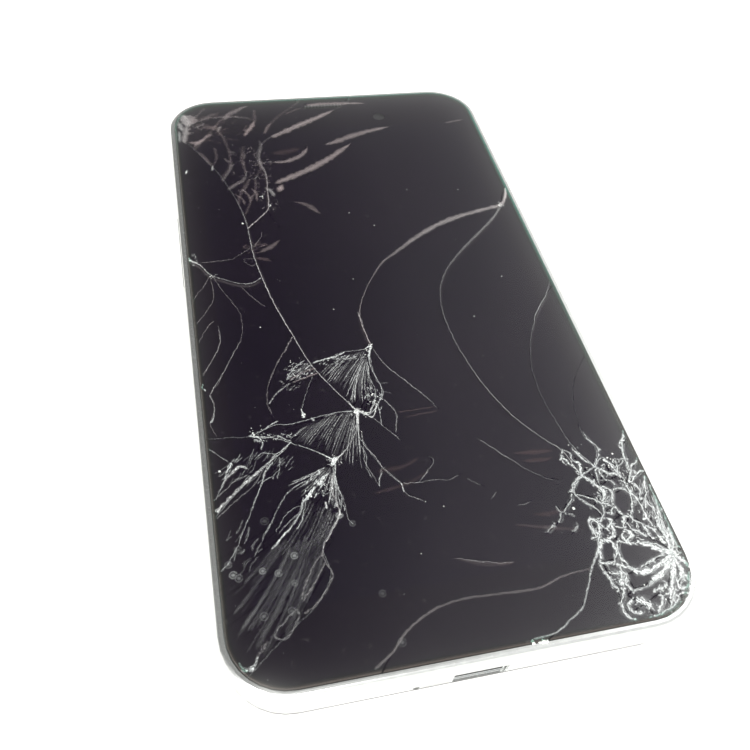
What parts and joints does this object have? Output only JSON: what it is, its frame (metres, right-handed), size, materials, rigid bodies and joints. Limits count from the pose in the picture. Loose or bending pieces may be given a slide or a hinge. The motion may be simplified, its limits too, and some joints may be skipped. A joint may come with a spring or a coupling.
{
  "type": "shattered screen phone",
  "caption": "Slim phone on its back, its front glass broken through by long curved cracks, fans of fine cracks and a crushed corner.",
  "frame": {"origin": "middle of the back cover's outer face", "axes": "+Z out of the screen, +Y to the earpiece end, +X to the side with the power button and SIM tray"},
  "size_m": [0.0694, 0.1308, 0.009],
  "materials": {
    "side_frame": "polished, worn",
    "back_cover": "glossy",
    "glass_tape": "soft",
    "display_panel": "glossy black",
    "backlight": "white film",
    "display_flex": "glossy film",
    "battery_lead": "glossy film",
    "main_flex": "glossy film",
    "mid_plate": "satin",
    "battery": "wrapped pouch",
    "main_board": "lacquered",
    "lower_board": "lacquered",
    "main_shield": "satin",
    "radio_shield": "satin",
    "usb_socket": "satin",
    "headphone_jack": "matt",
    "microphone": "satin",
    "speaker_mesh": "matt",
    "loudspeaker": "matt",
    "vibration_motor": "satin",
    "earpiece": "matt",
    "earpiece_mesh": "fine weave",
    "rear_camera": "matt",
    "camera_ring": "satin",
    "camera_window": "clear, dark behind",
    "flash_led": "phosphor",
    "flash_lens": "clear, ribbed",
    "front_camera": "matt",
    "proximity_sensor": "matt",
    "power_button": "polished",
    "volume_rocker": "polished",
    "power_switch": "matt",
    "volume_down_switch": "matt",
    "volume_up_switch": "matt",
    "sim_tray": "satin",
    "sim_card": "plain card",
    "sim_reader": "satin",
    "glass_corner_crushed": "clear, cracked",
    "glass_left_upper": "clear, cracked",
    "glass_left_middle": "clear, cracked",
    "glass_fan_upper": "clear, cracked",
    "glass_fan_middle": "clear, cracked",
    "glass_left_lower": "clear, cracked",
    "glass_fan_lower": "clear, cracked",
    "glass_upper": "clear, cracked",
    "glass_centre": "clear, cracked",
    "glass_bottom": "clear, cracked",
    "glass_right_upper": "clear, cracked",
    "glass_right_middle": "clear, cracked",
    "glass_right_lower": "clear, cracked",
    "glass_web": "clear, cracked",
    "screw_main_left": "plated",
    "screw_main_right": "plated",
    "screw_main_inner": "plated",
    "screw_lower_left": "plated",
    "screw_lower_right": "plated",
    "screw_lower_inner": "plated",
    "screw_plate_left": "plated",
    "screw_plate_right": "plated"
  },
  "bodies": {
    "phone": {"side_frame": "side_frame", "back_cover": "back_cover", "glass_tape": "glass_tape", "display_panel": "display_panel", "backlight": "backlight", "display_flex": "display_flex", "battery_lead": "battery_lead", "main_flex": "main_flex", "mid_plate": "mid_plate", "battery": "battery", "main_board": "main_board", "lower_board": "lower_board", "main_shield": "main_shield", "radio_shield": "radio_shield", "usb_socket": "usb_socket", "headphone_jack": "headphone_jack", "microphone": "microphone", "speaker_mesh": "speaker_mesh", "loudspeaker": "loudspeaker", "vibration_motor": "vibration_motor", "earpiece": "earpiece", "earpiece_mesh": "earpiece_mesh", "rear_camera": "rear_camera", "camera_ring": "camera_ring", "camera_window": "camera_window", "flash_led": "flash_led", "flash_lens": "flash_lens", "front_camera": "front_camera", "proximity_sensor": "proximity_sensor", "power_switch": "power_switch", "volume_down_switch": "volume_down_switch", "volume_up_switch": "volume_up_switch", "sim_reader": "sim_reader", "glass_corner_crushed": "glass_corner_crushed", "glass_left_upper": "glass_left_upper", "glass_left_middle": "glass_left_middle", "glass_fan_upper": "glass_fan_upper", "glass_fan_middle": "glass_fan_middle", "glass_left_lower": "glass_left_lower", "glass_fan_lower": "glass_fan_lower", "glass_upper": "glass_upper", "glass_centre": "glass_centre", "glass_bottom": "glass_bottom", "glass_right_upper": "glass_right_upper", "glass_right_middle": "glass_right_middle", "glass_right_lower": "glass_right_lower", "glass_web": "glass_web", "screw_main_left": "screw_main_left", "screw_main_right": "screw_main_right", "screw_main_inner": "screw_main_inner", "screw_lower_left": "screw_lower_left", "screw_lower_right": "screw_lower_right", "screw_lower_inner": "screw_lower_inner", "screw_plate_left": "screw_plate_left", "screw_plate_right": "screw_plate_right"},
    "power_button": {"power_button": "power_button"},
    "volume_rocker": {"volume_rocker": "volume_rocker"},
    "sim_tray": {"sim_tray": "sim_tray", "sim_card": "sim_card"}
  },
  "joints": [
    {"name": "power_press", "type": "slide", "parent": "phone", "child": "power_button", "axis": [-1, 0, 0], "range_m": [0, 0.00025], "stiffness_N_per_m": 2000},
    {"name": "volume_rock", "type": "hinge", "parent": "phone", "child": "volume_rocker", "pos_m": [-0.0317, 0.022, 0.0034], "axis": [0, 0, 1], "range_deg": [-1.2, 1.2], "stiffness_Nm_per_rad": 0.5},
    {"name": "tray_slide", "type": "slide", "parent": "phone", "child": "sim_tray", "axis": [1, 0, 0], "range_m": [0, 0.016]}
  ]
}
